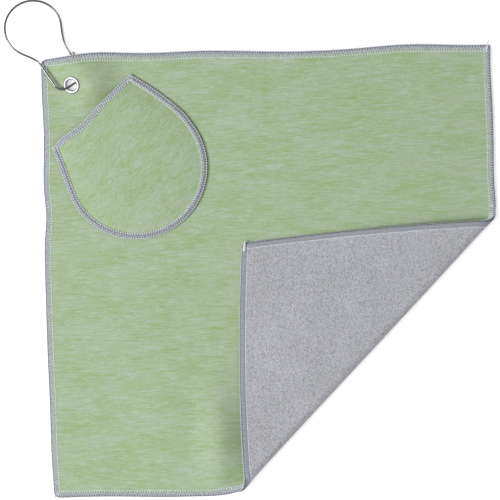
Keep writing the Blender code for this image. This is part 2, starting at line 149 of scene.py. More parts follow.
def waves(plan):
    """The soft unevenness of cloth that was smoothed out by hand."""
    x = plan[:, 0] / (100 * MM)
    y = plan[:, 1] / (100 * MM)
    swell = np.sin(2.1 * x + 0.7 * y + 0.4) * np.sin(1.3 * y - 0.8 * x + 1.1)
    ripple = np.sin(4.3 * x - 2.2 * y + 2.0) * np.sin(3.1 * y + 1.2 * x)
    settled = smooth_step(np.linalg.norm(plan - EYELET, axis=1), CALM, UNEVEN)
    return (SWELL * (1 + swell) + RIPPLE * (1 + ripple)) * MM * settled


def swellings(plan, places):
    """The sum of smooth local changes.

    Each place is (x, y, reach in x, reach in y, *amounts), in millimetres.
    """
    total = 0
    for x, y, reach_x, reach_y, *amounts in places:
        offset = (plan / MM - (x, y)) / (reach_x, reach_y)
        total = total + np.exp(-(offset**2).sum(axis=1))[:, None] * np.array(amounts) * MM
    return total


# Where the cloth is pulled out of square, as (x, y, reach in x, reach in y, shift in x, shift in y).
PULLS = (
    (-110, 148, 28, 9, 0, 3.6),
    (-45, 148, 45, 12, 0, 2.9),
    (96, 148, 36, 12, 0, 2.6),
    (148, 147, 9, 11, 0.8, 0.3),
    (-152, 140, 14, 14, 1.1, 0),
    (-150, 100, 12, 35, 2.0, 0),
    (-150, 42, 12, 15, 1.8, 0),
    (-150, -90, 12, 35, 0.7, 0),
    (-150, -146, 12, 25, 1.6, 0),
    (-18, -143, 140, 140, -1.75, 1.7),
    (-62, -146, 42, 12, 0, -2.7),
    (-34, -146, 18, 12, 0, -1.0),
    (-22, -144, 13, 13, 0, 0.8),
    (151, 40, 12, 12, 1.1, 0),
    (151, 95, 12, 40, 1.3, 0),
)
# Where the panel bulges off the floor, as (x, y, reach in x, reach in y, height).
BULGES = (
    (-66, -105, 30, 38, 2.2),
    (-37, -110, 12, 32, 6.2),
    (110, 58, 34, 15, 1.2),
    (60, 95, 60, 30, 0.6),
    (-95, -40, 40, 50, 0.5),
)


def ground(plan):
    """Height of the cloth's underside off the floor."""
    return REST + lift(plan) + waves(plan) + swellings(plan, BULGES)[:, 0]


def panel(flat):
    """Points on the cloth's middle surface, where the towel lies open."""
    return np.column_stack((flat, ground(flat) + THICK / 2))


def flat_crossing(origin, direction, beyond):
    """The flat point where a line crosses the parallel to the fold at a distance beyond its start."""
    origin = np.array(origin)
    direction = np.array(direction)
    share = (beyond - (origin - FOLD_START) @ OUTWARD) / (direction @ OUTWARD)
    return origin + direction * share


# The ends of the flap and of the panel along the fold, on the right edge and on the bottom edge.
FLAP_UPPER = flat_crossing((RIGHT, 0), (0, 1), ROLL_LENGTH)
FLAP_SIDE = flat_crossing((0, BOTTOM), (1, 0), ROLL_LENGTH)
FOLD_UPPER = flat_crossing((RIGHT, 0), (0, 1), 0)
FOLD_SIDE = flat_crossing((0, BOTTOM), (1, 0), 0)
FULL_BACK = (FOLD_START - FLAP_TIP) @ OUTWARD


def roll(flat, beyond):
    """Points on the half turn of the fold, at distances beyond its start."""
    angle = beyond / ROLL
    plan = flat - OUTWARD * beyond[:, None] + OUTWARD * (ROLL * np.sin(angle))[:, None]
    height = ground(plan) + THICK / 2 + ROLL * (1 - np.cos(angle))
    return np.column_stack((plan, height))


def flap(flat):
    """The flap, from where its corner and the two ends of its fold lie."""
    upper_share = (flat[:, 1] - BOTTOM) / (FLAP_UPPER[1] - BOTTOM)
    side_share = (RIGHT - flat[:, 0]) / (RIGHT - FLAP_SIDE[0])
    tip_share = 1 - upper_share - side_share
    upper = FLAP_UPPER - OUTWARD * ROLL_LENGTH
    side = FLAP_SIDE - OUTWARD * ROLL_LENGTH
    plan = upper_share[:, None] * upper + side_share[:, None] * side + tip_share[:, None] * FLAP_TIP
    plan[:, 1] += TOP_BOW * 4 * upper_share * tip_share
    plan[:, 0] += SIDE_BOW * 4 * side_share * tip_share
    sunk = smooth_step(tip_share * FULL_BACK, 0, SETTLE)
    height = ground(plan) + THICK / 2 + 2 * ROLL + (FLAP_REST - 2 * ROLL) * sunk
    return np.column_stack((plan, height))


def towel_middle(flat):
    """Points on the cloth's middle surface, anywhere on the towel."""
    beyond = (flat - FOLD_START) @ OUTWARD
    on_roll = (beyond > 0) & (beyond < ROLL_LENGTH)
    on_flap = beyond >= ROLL_LENGTH
    points = panel(flat)
    points[on_roll] = roll(flat[on_roll], beyond[on_roll])
    points[on_flap] = flap(flat[on_flap])
    points[:, :2] += swellings(points[:, :2], PULLS)
    return points


def offset_from(base, flat, height):
    """Points at a height off a surface, along its normal."""
    step = 0.02 * MM
    here = base(flat)
    ahead = base(flat + (step, 0)) - base(flat - (step, 0))
    beside = base(flat + (0, step)) - base(flat - (0, step))
    normal = np.cross(ahead, beside)
    normal /= np.linalg.norm(normal, axis=1)[:, None]
    return here + normal * np.reshape(height, (-1, 1))


def towel_surface(flat, height):
    """Where a point of the cloth lies. height is measured from the terry side towards the knitted side."""
    return offset_from(towel_middle, flat, height - THICK / 2)


# ---------------- meshes


def piece(name, points, faces, flat, materials, body=None, indices=None):
    """A smooth mesh whose UV map holds the flat cloth's own coordinates."""
    mesh = bpy.data.meshes.new(name)
    mesh.from_pydata(np.asarray(points).tolist(), [], np.asarray(faces).tolist())
    layer = mesh.uv_layers.new(name="flat")
    loops = np.zeros(len(mesh.loops), np.int32)
    mesh.loops.foreach_get("vertex_index", loops)
    layer.data.foreach_set("uv", np.asarray(flat)[loops].astype(np.float32).ravel())
    for material in materials:
        mesh.materials.append(material)
    if indices is not None:
        mesh.polygons.foreach_set("material_index", indices)
    mesh.polygons.foreach_set("use_smooth", [True] * len(mesh.polygons))
    mesh.set_sharp_from_angle(angle=math.radians(60))
    obj = bpy.data.objects.new(name, mesh)
    bpy.context.scene.collection.objects.link(obj)
    if body:
        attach(obj, body)
    return obj


def grid_faces(rows, columns, around=False):
    """Quads over a grid of points, row by row. around joins each row's last point to its first."""
    i = np.arange(rows - 1)[:, None]
    j = np.arange(columns if around else columns - 1)[None, :]
    here = i * columns + j
    beside = i * columns + (j + 1) % columns
    quads = np.stack((here, beside, beside + columns, here + columns), axis=-1)
    return quads.reshape(-1, 4)


def ply(name, grid, low, high, surface, material, body=None, keep=None, uv=None):
    """One closed ply of cloth over a grid of flat points, between two heights."""
    rows, columns = grid.shape[:2]
    flat = grid.reshape(-1, 2)
    count = len(flat)
    low_points = surface(flat, np.full(count, low))
    high_points = surface(flat, np.full(count, high))
    quads = grid_faces(rows, columns)
    if keep is not None:
        centres = flat[quads].mean(axis=1)
        quads = quads[keep(centres)]
    edges = np.concatenate([quads[:, [i, (i + 1) % 4]] for i in range(4)])
    keys = {(a, b) for a, b in edges.tolist()}
    rim = np.array([(a, b) for a, b in edges.tolist() if (b, a) not in keys])
    walls = np.column_stack((rim[:, 1], rim[:, 0], rim[:, 0] + count, rim[:, 1] + count))
    faces = np.concatenate((quads[:, ::-1], quads + count, walls))
    coordinates = flat if uv is None else uv(flat)
    coordinates = np.concatenate((coordinates, coordinates))
    return piece(name, np.concatenate((low_points, high_points)), faces, coordinates, [material], body)


NO_THREAD_STARTS_ALONG = (0.3, 0.2, 1.0)


def directions_across(line):
    """Two directions square to a polyline in space at each of its points, carried along it untwisted."""
    tangent = np.gradient(line, axis=0)
    tangent /= np.linalg.norm(tangent, axis=1)[:, None]
    across = np.zeros_like(tangent)
    side = np.cross(tangent[0], NO_THREAD_STARTS_ALONG)
    for i, direction in enumerate(tangent):
        side = side - direction * (side @ direction)
        side /= np.linalg.norm(side)
        across[i] = side
    return across, np.cross(tangent, across)


def strand(line, radius, sides=6):
    """Points and quads of a thread along a line. radius may differ from point to point."""
    across, up = directions_across(line)
    angles = np.arange(sides) * 2 * math.pi / sides
    cosines = np.cos(angles)[None, :, None]
    sines = np.sin(angles)[None, :, None]
    ring = across[:, None, :] * cosines + up[:, None, :] * sines
    points = line[:, None, :] + ring * np.broadcast_to(radius, len(line))[:, None, None]
    return points.reshape(-1, 3), grid_faces(len(line), sides, around=True)


def joined(parts):
    """Several (points, quads) as one, with the number of quads of each."""
    points = []
    faces = []
    counts = []
    start = 0
    for part_points, part_faces in parts:
        points.append(part_points)
        faces.append(part_faces + start)
        counts.append(len(part_faces))
        start += len(part_points)
    return np.concatenate(points), np.concatenate(faces), counts


# ---------------- overlocked hems


ROUNDING_STEPS = 8
EDGE_STEP = 0.5 * MM


def rounded_path(corners, radii, spacing):
    """A line through flat corners, each rounded to its radius, with points a spacing apart."""
    corners = [np.array(corner, float) for corner in corners]
    points = [corners[0]]
    for before, corner, after, radius in zip(corners, corners[1:], corners[2:], radii):
        back = (before - corner) / np.linalg.norm(before - corner)
        on = (after - corner) / np.linalg.norm(after - corner)
        half = math.acos(back @ on) / 2
        reach = radius / math.tan(half)
        start = corner + back * reach
        end = corner + on * reach
        for share in np.linspace(0, 1, ROUNDING_STEPS + 1):
            points.append((1 - share) ** 2 * start + 2 * share * (1 - share) * corner + share**2 * end)
    points.append(corners[-1])
    return resampled(np.array(points), spacing)


def resampled(points, spacing):
    """The same line with its points evenly apart, by about the spacing."""
    steps = np.linalg.norm(np.diff(points, axis=0), axis=1)
    length = np.concatenate(((0,), np.cumsum(steps)))
    count = max(2, round(length[-1] / spacing)) + 1
    places = np.linspace(0, length[-1], count)
    return np.column_stack([np.interp(places, length, points[:, i]) for i in range(points.shape[1])])


class Edge:
    """An edge of cloth: its outline in flat coordinates, travelled with the cloth on the left."""

    def __init__(self, outline, surface):
        self.outline = outline
        self.surface = surface
        steps = np.linalg.norm(np.diff(outline, axis=0), axis=1)
        self.places = np.concatenate(((0,), np.cumsum(steps)))
        self.length = self.places[-1]
        tangent = np.gradient(outline, axis=0)
        tangent /= np.linalg.norm(tangent, axis=1)[:, None]
        self.inward = np.column_stack((-tangent[:, 1], tangent[:, 0]))

    def at(self, place, depth):
        """Flat points at places along the edge and depths into the cloth."""
        place = np.clip(place, 0, self.length)
        here = np.column_stack([np.interp(place, self.places, self.outline[:, i]) for i in (0, 1)])
        inward = np.column_stack([np.interp(place, self.places, self.inward[:, i]) for i in (0, 1)])
        return here + inward * np.reshape(depth, (-1, 1))

    def points(self, place, depth, height):
        return self.surface(self.at(place, depth), height)


# The overlock stitch: its pitch and the radii of its threads, which swell to FULLEST on each stitch.
PITCH = 1.7 * MM
LOOPER = 0.33 * MM
CHAIN = 0.42 * MM
NEEDLE = 0.40 * MM
FULLEST = 1.1
STITCH_SAMPLES = 6

# The looper thread crosses from LOOPER_INSET inside the rim and spans the hem's width less LOOPER_LESS. It
# arches up between, and its turns are uneven by this share of a stitch.
LOOPER_INSET = 0.55 * MM
LOOPER_LESS = 1.1 * MM
LOOPER_ARCH = 0.25 * MM
LOOPER_UNEVEN = 0.03

# The rim's chain, at a share of the hem's height, and the needle line on each side of the cloth.
RIM_INSET = 0.05 * MM
RIM_LOOP = 0.15 * MM
RIM_SHARE = 0.72
NEEDLE_INSET = 0.25 * MM
NEEDLE_SINK = 0.45 * MM
NEEDLE_ARCH = 0.2 * MM
UNDER_RISE = 0.55 * MM

# The band under the threads, coloured darker than the thread as painted shade of the threads over it. Its
# darker sides, painted shadow, lie along the rim and by the needle line.
BAND_RING = 14
BAND_SHADOW_SIDES = (0, 1, 6, 12, 13)
BAND_STEP = 0.8 * MM
BAND_DROP = 0.35 * MM
BAND_RISE = 0.1 * MM


def band(edge, width, low, high):
    """The bound edge under the stitches: a flattened tube along the edge."""
    count = max(2, round(edge.length / BAND_STEP)) + 1
    places = np.linspace(0, edge.length, count)
    angles = np.arange(BAND_RING) * 2 * math.pi / BAND_RING
    out = np.abs(np.cos(angles)) ** 0.7 * np.sign(np.cos(angles))
    rise = np.abs(np.sin(angles)) ** 0.6 * np.sign(np.sin(angles))
    depth = np.tile(width / 2 * (1 - out), count)
    height = np.tile((low + high) / 2 + (high - low) / 2 * rise, count)
    points = edge.points(np.repeat(places, BAND_RING), depth, height)
    return points, grid_faces(count, BAND_RING, around=True)


def zigzag(edge, width, stitches, base, arch_share):
    """The looper thread: crossings between the rim and the needle line, twice for each stitch."""
    turn = np.arange(stitches * 4 + 1) / 4
    swing = np.abs((turn * 2) % 2 - 1)
    loose = np.random.default_rng(SEED + stitches).normal(0, LOOPER_UNEVEN, len(turn))
    depth = LOOPER_INSET + (width - LOOPER_LESS) * (swing + loose)
    arch = 4 * swing * (1 - swing)
    height = base + arch_share * LOOPER_ARCH * arch
    return edge.points((turn + loose) * edge.length / stitches, depth, height)


def stitched_radius(radius, pulse, least, sharpness=1):
    """The radius of a thread that swells on each stitch and thins to a least share of it between them."""
    return radius * (least + (FULLEST - least) * pulse**sharpness)


def overlock(name, edge, width, low, high, materials, body):
    """A bound edge: its band, a chain of thread round the rim, and stitches on both sides."""
    stitches = max(2, round(edge.length / PITCH))
    fine = np.arange(stitches * STITCH_SAMPLES + 1) / STITCH_SAMPLES
    place = fine * edge.length / stitches
    pulse = np.abs(np.sin(math.pi * fine))
    shifted = np.abs(np.cos(math.pi * fine))
    rim_height = np.full(len(fine), low + (high - low) * RIM_SHARE)
    needle_depth = np.full(len(fine), width - NEEDLE_INSET)
    rim = edge.points(place, RIM_INSET - RIM_LOOP * pulse, rim_height)
    needle = edge.points(place, needle_depth, high - NEEDLE_SINK + NEEDLE_ARCH * shifted)
    under = edge.points(place, needle_depth, low + UNDER_RISE - NEEDLE_ARCH * pulse)
    parts = [
        band(edge, width, low + BAND_RISE, high - BAND_DROP),
        strand(zigzag(edge, width, stitches, high - BAND_DROP, 1), LOOPER),
        strand(zigzag(edge, width, stitches, low + LOOPER * 1.6, -0.5), LOOPER, 5),
        strand(rim, stitched_radius(CHAIN, pulse, 0.15, 1.5)),
        strand(needle, stitched_radius(NEEDLE, shifted, 0.15, 1.5)),
        strand(under, stitched_radius(NEEDLE, pulse, 0.25), 5),
    ]
    points, faces, counts = joined(parts)
    # The band takes its painted-shade colour and the threads their own. The band's sides along the rim and
    # by the needle line take the darker colour of painted shadow.
    indices = np.repeat((0, 1, 1, 1, 1, 1), counts)
    side = np.arange(counts[0]) % BAND_RING
    indices[: counts[0]][np.isin(side, BAND_SHADOW_SIDES)] = 2
    return piece(name, points, faces, points[:, :2], materials, body, indices)


# ---------------- materials


def grey(level):
    return (level, level, level)


class Look:
    """Builds one node material."""

    def __init__(self, name):
        self.material = bpy.data.materials.new(name)
        self.material.use_nodes = True
        self.tree = self.material.node_tree
        self.shader = self.tree.nodes["Principled BSDF"]

    def set(self, node, values):
        for key, value in values.items():
            if isinstance(value, bpy.types.NodeSocket):
                self.tree.links.new(value, node.inputs[key])
            else:
                node.inputs[key].default_value = value

    def node(self, kind, values=None, **settings):
        made = self.tree.nodes.new(kind)
        for key, value in settings.items():
            setattr(made, key, value)
        self.set(made, values or {})
        return made

    def finish(self, values):
        self.set(self.shader, values)
        return self.material

    def flat(self, size):
        """The cloth's own coordinates, divided by size, which is a length for each axis."""
        coordinates = self.node("ShaderNodeUVMap", uv_map="flat").outputs["UV"]
        values = {0: coordinates, 1: (1 / size[0], 1 / size[1], 1)}
        return self.node("ShaderNodeVectorMath", values, operation="MULTIPLY").outputs[0]

    def place(self, size):
        """Coordinates in space, divided by size."""
        coordinates = self.node("ShaderNodeTexCoord").outputs["Object"]
        values = {0: coordinates, 1: (1 / size, 1 / size, 1 / size)}
        return self.node("ShaderNodeVectorMath", values, operation="MULTIPLY").outputs[0]

    def noise(self, vector, detail=2.0, roughness=0.5):
        values = {"Vector": vector, "Scale": 1.0, "Detail": detail, "Roughness": roughness}
        return self.node("ShaderNodeTexNoise", values).outputs["Fac"]

    def courses(self, pitch, length, detail):
        """Noise that runs straight along each course of the knit and starts afresh on the next."""
        split = self.node("ShaderNodeSeparateXYZ", {0: self.flat((length, pitch))}).outputs
        course = self.blend("FLOOR", split["Y"], 0.0)
        chance = self.node("ShaderNodeTexWhiteNoise", {"W": course}, noise_dimensions="1D")
        start = self.blend("MULTIPLY", chance.outputs["Value"], 100.0)
        along = self.blend("ADD", split["X"], start)
        values = {"W": along, "Scale": 1.0, "Detail": detail, "Roughness": 0.65}
        return self.node("ShaderNodeTexNoise", values, noise_dimensions="1D").outputs["Fac"]

    def sum(self, *parts):
        """The weighted sum of (socket, weight) parts."""
        total = self.blend("MULTIPLY", *parts[0])
        for socket, weight in parts[1:]:
            values = {0: socket, 1: weight, 2: total}
            total = self.node("ShaderNodeMath", values, operation="MULTIPLY_ADD").outputs[0]
        return total

    def cells(self, vector, randomness=1.0):
        """The distance to the middle of the nearest of many small cells."""
        values = {"Vector": vector, "Scale": 1.0, "Randomness": randomness}
        return self.node("ShaderNodeTexVoronoi", values).outputs["Distance"]

    def ramp(self, factor, low, high, low_color, high_color):
        made = self.node("ShaderNodeValToRGB", {"Fac": factor})
        first, last = made.color_ramp.elements
        first.position, first.color = low, (*low_color, 1)
        last.position, last.color = high, (*high_color, 1)
        return made.outputs["Color"]

    def mix(self, factor, a, b, blend="MIX"):
        made = self.node("ShaderNodeMix", data_type="RGBA", blend_type=blend)
        for socket, value in zip((made.inputs[0], made.inputs[6], made.inputs[7]), (factor, a, b)):
            if isinstance(value, bpy.types.NodeSocket):
                self.tree.links.new(value, socket)
            else:
                socket.default_value = value
        return made.outputs[2]

    def blend(self, kind, a, b):
        return self.node("ShaderNodeMath", {0: a, 1: b}, operation=kind).outputs[0]

    def bump(self, height, distance, strength):
        values = {"Height": height, "Distance": distance, "Strength": strength}
        return self.node("ShaderNodeBump", values).outputs[0]


# The knit: its colours, the height of a course and the length of its longer streaks.
KNIT_LEAF = (0.268, 0.372, 0.165)
KNIT_HEATHER = (0.372, 0.450, 0.345)
KNIT_GLINT = (0.500, 0.570, 0.470)
COURSE = 0.75 * MM
TOWEL_STREAK = 26 * MM
POCKET_STREAK = 13 * MM


def knit_look(name, streak):
    """Heathered jersey in tiny stitches: green and pale yarn, whose tone drifts along each course."""
    look = Look(name)
    long_yarn = look.courses(COURSE, streak, 3)
    short_yarn = look.courses(COURSE, streak / 4, 2)
    cloud = look.noise(look.flat((42 * MM, 15 * MM)), 3, 0.6)
    patch = look.noise(look.flat((9 * MM, 5 * MM)), 2, 0.6)
    tone = look.sum((long_yarn, 0.42), (short_yarn, 0.18), (cloud, 0.28), (patch, 0.12))
    base = look.ramp(tone, 0.38, 0.62, KNIT_LEAF, KNIT_HEATHER)
    glint = look.ramp(short_yarn, 0.56, 0.86, grey(0), grey(0.26))
    streaked = look.mix(glint, base, (*KNIT_GLINT, 1))
    stitch = look.cells(look.flat((0.85 * MM, 0.5 * MM)), 0.5)
    gaps = look.ramp(stitch, 0.1, 0.9, grey(1.07), grey(0.86))
    shade = look.mix(1.0, streaked, gaps, "MULTIPLY")
    height = look.sum((stitch, -0.7), (short_yarn, 0.8), (long_yarn, 0.5))
    normal = look.bump(height, 0.14 * MM, 0.6)
    return look.finish({"Base Color": shade, "Roughness": 0.85, "Normal": normal, "Sheen Weight": 0.08})


TERRY_DARK = (0.265, 0.268, 0.290)
TERRY_LIGHT = (0.550, 0.555, 0.588)


def terry_look():
    """Brushed microfibre terry: short packed loops with pale tips, in faint rows along the cloth."""
    look = Look("terry_loops")
    loops = look.cells(look.flat((1.0 * MM, 0.5 * MM)))
    tips = look.noise(look.flat((1.0 * MM, 0.45 * MM)), 3, 0.7)
    rows = look.noise(look.flat((14 * MM, 1.6 * MM)), 2, 0.6)
    brushed = look.noise(look.flat((26 * MM, 20 * MM)), 4, 0.6)
    base = look.ramp(loops, 0.05, 0.8, TERRY_LIGHT, TERRY_DARK)
    tip_shade = look.ramp(tips, 0.32, 0.7, grey(0.84), grey(1.2))
    speckled = look.mix(1.0, base, tip_shade, "MULTIPLY")
    nap = look.sum((rows, 0.4), (brushed, 0.6))
    nap_shade = look.ramp(nap, 0.36, 0.64, grey(0.93), grey(1.07))
    napped = look.mix(1.0, speckled, nap_shade, "MULTIPLY")
    normal = look.bump(look.sum((loops, -1.0), (tips, 0.8)), 0.4 * MM, 0.75)
    return look.finish({"Base Color": napped, "Roughness": 0.95, "Normal": normal, "Sheen Weight": 0.15})


THREAD_DARK = (0.490, 0.515, 0.560)
THREAD_PALE = (0.700, 0.730, 0.790)
# The band under the overlock is darker than its thread: painted shade of the threads over it.
BAND_SHADE_DARK = (0.190, 0.203, 0.228)
BAND_SHADE_PALE = (0.320, 0.338, 0.375)
# The band's sides along the rim and by the needle line: painted shadow of the threads.
RIM_SHADOW_DARK = (0.080, 0.088, 0.105)
RIM_SHADOW_PALE = (0.150, 0.162, 0.188)
# The seam is a real lockstitch, but its dark colour is painted shade: it stands for a thin shadow line along
# the pocket's hem.
SEAM_SHADE_DARK = (0.16, 0.17, 0.19)
SEAM_SHADE_PALE = (0.30, 0.32, 0.35)
NICKEL = (0.40, 0.40, 0.41)
STEEL = (0.19, 0.19, 0.195)


def yarn_look(name, dark, pale, size):
    """Textured polyester yarn: fuzzy filaments with dark gaps between them. size is that of a tuft."""
    look = Look(name)
    fluff = look.noise(look.place(size), 4, 0.7)
    fibre = look.noise(look.place(size / 4), 2, 0.6)
    base = look.ramp(fluff, 0.35, 0.65, dark, pale)
    height = look.blend("ADD", fluff, fibre)
    normal = look.bump(height, 0.12 * MM, 0.6)
    return look.finish({"Base Color": base, "Roughness": 0.8, "Normal": normal, "Sheen Weight": 0.1})


def nickel_look(name, color, roughness):
    """Nickel plate with faint wipe marks and a few duller patches."""
    look = Look(name)
    marks = look.noise(look.place(1.2 * MM), 4, 0.6)
    dull = look.noise(look.place(6 * MM), 2)
    rough = look.ramp(dull, 0.35, 0.7, grey(roughness), grey(roughness + 0.1))
    tone = look.ramp(marks, 0.2, 0.8, [c * 0.94 for c in color], color)
    normal = look.bump(marks, 0.02 * MM, 0.25)
    return look.finish({"Base Color": tone, "Metallic": 1.0, "Roughness": rough, "Normal": normal})


knit = knit_look("knit_face", TOWEL_STREAK)
pocket_knit = knit_look("knit_pocket", POCKET_STREAK)
terry = terry_look()
band_shade_yarn = yarn_look("overlock_band_shade", BAND_SHADE_DARK, BAND_SHADE_PALE, 0.9 * MM)
rim_shadow_yarn = yarn_look("overlock_rim_shadow", RIM_SHADOW_DARK, RIM_SHADOW_PALE, 0.9 * MM)
looper_yarn = yarn_look("overlock_thread", THREAD_DARK, THREAD_PALE, 1.3 * MM)
seam_shade_yarn = yarn_look("seam_thread_painted_shade", SEAM_SHADE_DARK, SEAM_SHADE_PALE, 0.8 * MM)
hem_yarns = [band_shade_yarn, looper_yarn, rim_shadow_yarn]
nickel = nickel_look("eyelet_nickel", NICKEL, 0.34)
steel = nickel_look("hook_nickel", STEEL, 0.20)

# ---------------- the towel

# The grids that the plies are made on. They end INSET inside the cloth's edge, under the hems.
CELL = 1.8 * MM
INSET = 2.2 * MM
ROLL_ROWS = 22
STRIP_COLUMNS = 130
TIP_GAP = 0.05 * MM

# The hole for the eyelet: cells within HOLE_CORE of its middle are left out, and the rest out to
# HOLE_REACH are moved to start at its edge.
HOLE = 4.7 * MM
HOLE_REACH = 9 * MM
HOLE_CORE = 1.6 * MM


def round_hole(flat):
    """Opens the grid round the eyelet."""
    offset = flat - EYELET
    radius = np.maximum(np.linalg.norm(offset, axis=1), 1e-6)
    share = np.clip((radius - HOLE_CORE) / (HOLE_REACH - HOLE_CORE), 0, 1)
    target = np.where(radius < HOLE_REACH, HOLE + (HOLE_REACH - HOLE) * share, radius)
    return EYELET + offset * (target / radius)[:, None]


def panel_grid():
    """Rows of flat points across the panel. Rows that meet the fold end on its start."""
    count = round((TOP - BOTTOM - 2 * INSET) / CELL)
    columns = round((RIGHT - LEFT - 2 * INSET) / CELL)
    rows = []
    for y in np.linspace(TOP - INSET, BOTTOM + INSET, count + 1):
        end = min(RIGHT - INSET, flat_crossing((0, y), (1, 0), 0)[0])
        across = np.linspace(LEFT + INSET, end, columns + 1)
        rows.append(np.column_stack((across, np.full(columns + 1, y))))
    return np.array(rows)[:, ::-1]


def strip_grid(beyond_values, columns):
    """Rows of flat points parallel to the fold, from the bottom edge to the right edge."""
    rows = []
    for beyond in beyond_values:
        side = flat_crossing((0, BOTTOM + INSET), (1, 0), beyond)
        upper = flat_crossing((RIGHT - INSET, 0), (0, 1), beyond)
        share = np.linspace(0, 1, columns + 1)[:, None]
        rows.append(side * (1 - share) + upper * share)
    return np.array(rows)


def panel_surface(flat, height):
    return towel_surface(round_hole(flat), height)


def outside_eyelet(flat):
    return np.linalg.norm(flat - EYELET, axis=1) > HOLE_CORE


LOW_PLY = (0, BACKING)
HIGH_PLY = (BACKING + PLY_GAP, THICK)
corner = np.array((RIGHT - INSET, BOTTOM + INSET))
corner_beyond = (corner - FOLD_START) @ OUTWARD - TIP_GAP
flap_rows = round((corner_beyond - ROLL_LENGTH) / CELL)
roll_grid = strip_grid(np.linspace(0, ROLL_LENGTH, ROLL_ROWS + 1), STRIP_COLUMNS)
flap_grid = strip_grid(np.linspace(ROLL_LENGTH, corner_beyond, flap_rows + 1), STRIP_COLUMNS)

towel_face = ply(
    "towel_face_cloth", panel_grid(), *HIGH_PLY, panel_surface, knit, "towel", outside_eyelet
)
towel_back = ply(
    "towel_backing_cloth", panel_grid(), *LOW_PLY, panel_surface, terry, "towel", outside_eyelet
)
fold_face = ply("fold_face_cloth", roll_grid, *HIGH_PLY, towel_surface, knit)
fold_back = ply("fold_backing_cloth", roll_grid, *LOW_PLY, towel_surface, terry)
flap_face = ply("flap_face_cloth", flap_grid, *HIGH_PLY, towel_surface, knit, "corner_flap")
flap_back = ply("flap_backing_cloth", flap_grid, *LOW_PLY, towel_surface, terry, "corner_flap")


def towel_hem(name, corners, radii, body):
    edge = Edge(rounded_path(corners, radii, EDGE_STEP), towel_surface)
    return overlock(name, edge, HEM_WIDTH, -REST, HEM_TOP, hem_yarns, body)


panel_outline = [FOLD_UPPER, (RIGHT, TOP), (LEFT, TOP), (LEFT, BOTTOM), FOLD_SIDE]
flap_outline = [FLAP_SIDE, (RIGHT, BOTTOM), FLAP_UPPER]
panel_hem = towel_hem("panel_overlock", panel_outline, CORNER_RADII, "towel")
lower_hem = towel_hem("fold_lower_overlock", [FOLD_SIDE, FLAP_SIDE], [], None)
upper_hem = towel_hem("fold_upper_overlock", [FLAP_UPPER, FOLD_UPPER], [], None)
flap_hem = towel_hem("flap_overlock", flap_outline, [FLAP_CORNER_RADIUS], "corner_flap")

# Loose ends of thread: where each starts on the flat cloth, and (x, y, height) from there in millimetres.
THREAD_STEP = 0.3 * MM
THREAD_END = 0.55
TAIL_FOOT = (RIGHT - 2.6 * MM, TOP - 3.2 * MM)
TAIL = ((0, 0, 2.4), (0.7, 2.4, 2.9), (0.9, 4.6, 2.4), (1.8, 6.2, 1.8))
KNOB_FOOT = (RIGHT - 5.5 * MM, BOTTOM + 1.7 * MM)
KNOB = ((0, 0, -0.6), (4.0, 0.1, -0.9), (6.8, 0.2, -0.4))
STUB_FOOT = (LEFT + 3.0 * MM, BOTTOM + 3.0 * MM)
STUB = ((0, 0, 1.2), (-2.6, -2.6, 0.9))


def loose_thread(name, foot, steps, radius, material, body):
    """A short end of overlock thread, thinner towards its tip."""
    route = resampled(np.array(steps, float) * MM + (*foot, 0), THREAD_STEP)
    line = towel_surface(route[:, :2], route[:, 2])
    points, faces = strand(line, radius * np.linspace(1, THREAD_END, len(line)))
    made = piece(name, points, faces, points[:, :2], [material], body)
    return made


thread_tail = loose_thread("thread_tail", TAIL_FOOT, TAIL, 0.7 * MM, looper_yarn, "towel")
thread_knob = loose_thread("thread_knob", KNOB_FOOT, KNOB, 1.15 * MM, looper_yarn, "corner_flap")
# The stub at the lower left corner takes the dark colour of the painted rim shadow.
thread_stub = loose_thread("thread_stub", STUB_FOOT, STUB, 0.9 * MM, rim_shadow_yarn, "towel")

# The strip between the panel and the flap is attached to neither body; its placement is baked into its
# meshes.
for crossing in (fold_face, fold_back, lower_hem, upper_hem):
    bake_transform(crossing)
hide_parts("towel_face")
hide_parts("towel_backing")
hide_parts("fold_face")
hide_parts("fold_backing")
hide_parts("flap_face")
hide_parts("flap_backing")
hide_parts("hem_top", "hem_left", "hem_bottom", "hem_right")
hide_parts("flap_hem_upper", "flap_hem_side")

# ---------------- the pocket

# The pocket's pattern, measured along the slope as in the CAD: a straight mouth and a round bag.
POCKET_ORIGIN = np.array((-129.8 * MM, 129.8 * MM))
MOUTH = 23.4 * MM
MOUTH_HALF = 35.3 * MM
BAG_CENTRE = 71.0 * MM
BAG_RADIUS = 47.3 * MM

# How it was sewn on: a mouth that is askew and dips, and a fuller shoulder on one side.
MOUTH_SKEW = 0.086
MOUTH_DIP = 2.0 * MM
DIP_PLACE = -9 * MM
DIP_REACH = 13 * MM
SHOULDER = 1.5 * MM

# Its heights: the inside stands off the face by up to POCKET_RISE, and by this share less at the far end.
POCKET_RISE = 3.6 * MM
POCKET_FALL = 0.25
POCKET_LINING = 0.8 * MM
POCKET_THICK = 1.5 * MM
POCKET_BASE = THICK + 0.3 * MM
POCKET_HEM_LOW = -0.2 * MM
POCKET_HEM = 2.2 * MM
POCKET_HEM_WIDTH = 3.4 * MM

# The grid of its plies, and the lockstitch that holds it down.
BAG_ROWS = 70
BAG_COLUMNS = 72
MOUTH_POINTS = 60
SEAM_RISE = 0.25 * MM
SEAM_THREAD = 0.3 * MM
SEAM_STITCH = 2.6 * MM
SEAM_SAMPLES = 8


